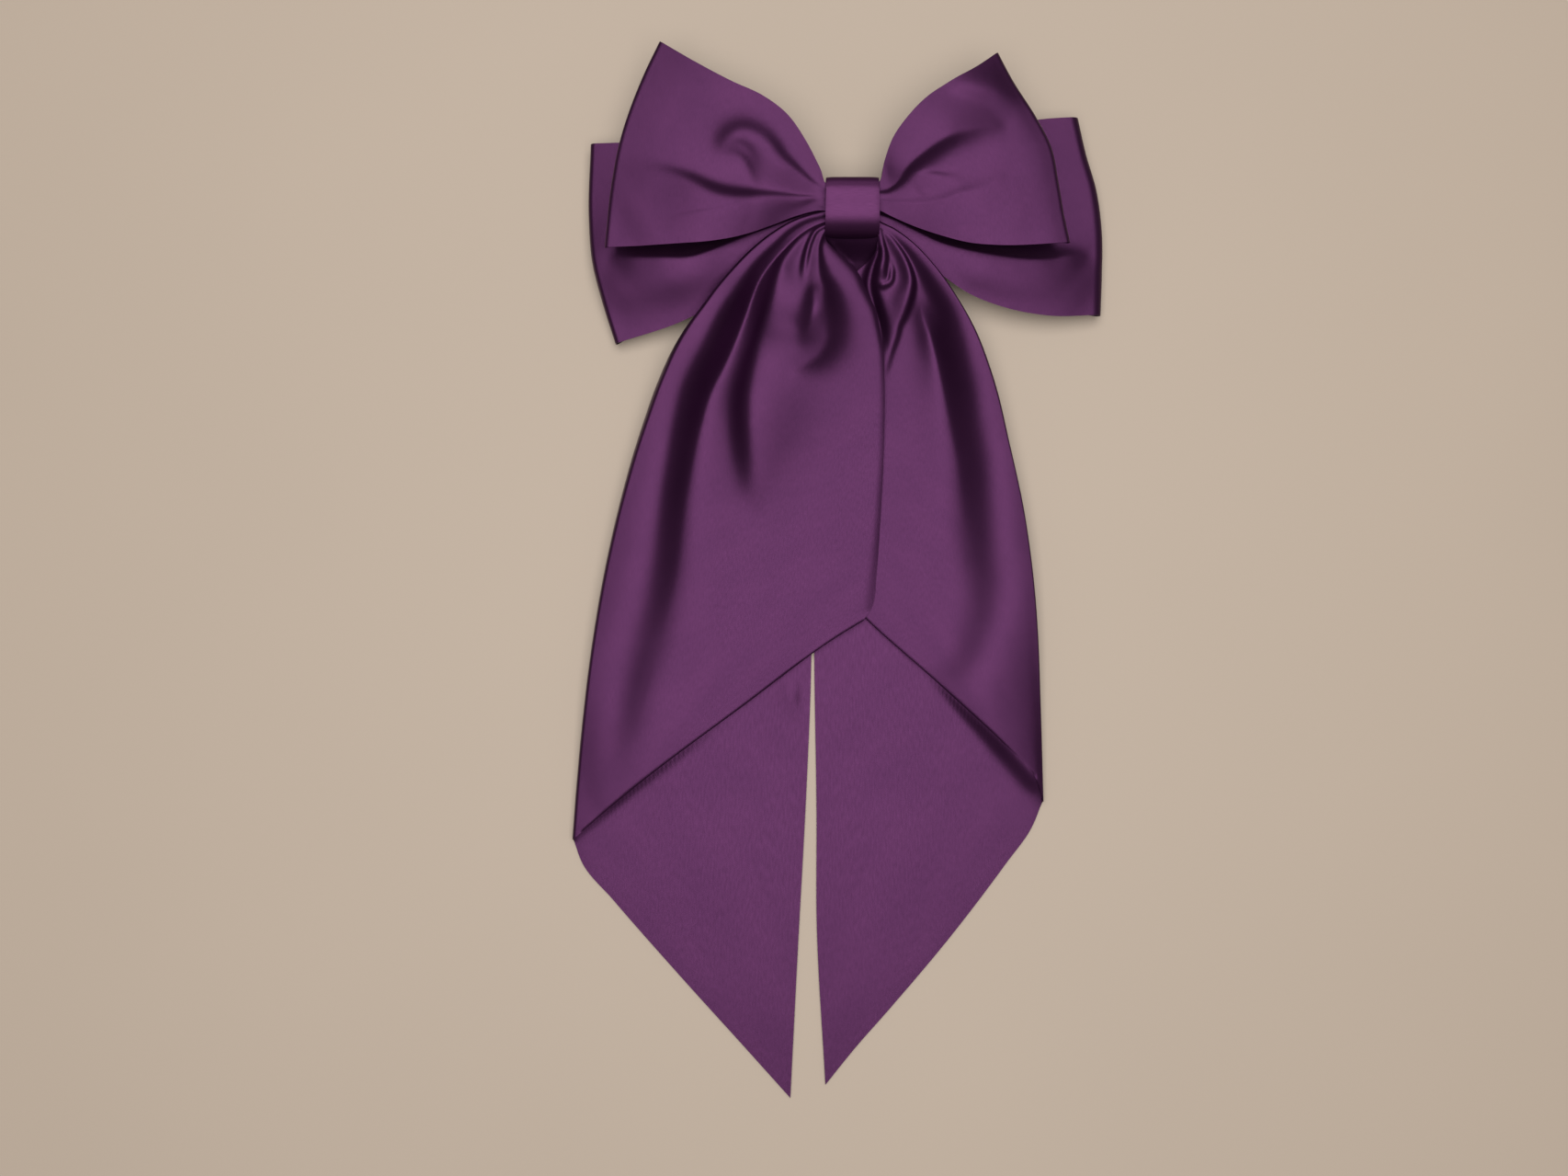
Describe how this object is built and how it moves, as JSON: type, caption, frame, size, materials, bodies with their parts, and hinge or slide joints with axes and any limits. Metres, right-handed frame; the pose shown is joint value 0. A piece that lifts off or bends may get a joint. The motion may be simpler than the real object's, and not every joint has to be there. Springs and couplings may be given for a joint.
{
  "type": "hair bow",
  "caption": "Long-tailed satin hair bow: two layered ribbon bows and a wide folded tail gathered under a knot band, on a spring barrette with a hinged clasp.",
  "frame": {"origin": "under the middle of the clip and the knot, on the plane that the clip and the tails rest on", "axes": "+X along the clip towards its catch, +Y towards the top of the bow, +Z out of the bow's front"},
  "size_m": [0.1913, 0.3791, 0.0262],
  "materials": {
    "satin": "glossy woven satin, deep purple",
    "thread": "matt sewing thread",
    "felt": "soft felt",
    "plated_steel": "nickel-plated pressed steel",
    "spring_steel": "bare spring steel"
  },
  "bodies": {
    "bow": {"clip_plate": "plated_steel", "hinge_pin": "plated_steel", "tension_bar": "spring_steel", "clip_catch": "plated_steel", "catch_rivet": "plated_steel", "clip_pad": "felt", "back_bow": "satin", "tail_ribbon": "satin", "front_bow": "satin", "gathering_thread": "thread", "knot_band": "satin"},
    "clasp": {"clasp_lever": "plated_steel"},
    "prong_front": {"catch_prong_front": "spring_steel"},
    "prong_rear": {"catch_prong_rear": "spring_steel"}
  },
  "joints": [
    {"name": "clasp_hinge", "type": "hinge", "parent": "bow", "child": "clasp", "pos_m": [-0.036, 0, 0.002], "axis": [0, 1, 0], "range_deg": [0, 75]},
    {"name": "prong_front_squeeze", "type": "hinge", "parent": "bow", "child": "prong_front", "pos_m": [0.036, -0.0022, 0.00538], "axis": [1, 0, 0], "range_deg": [0, 6], "stiffness_Nm_per_rad": 0.05},
    {"name": "prong_rear_squeeze", "type": "hinge", "parent": "bow", "child": "prong_rear", "pos_m": [0.036, 0.0022, 0.00538], "axis": [-1, 0, 0], "range_deg": [0, 6], "stiffness_Nm_per_rad": 0.05}
  ]
}
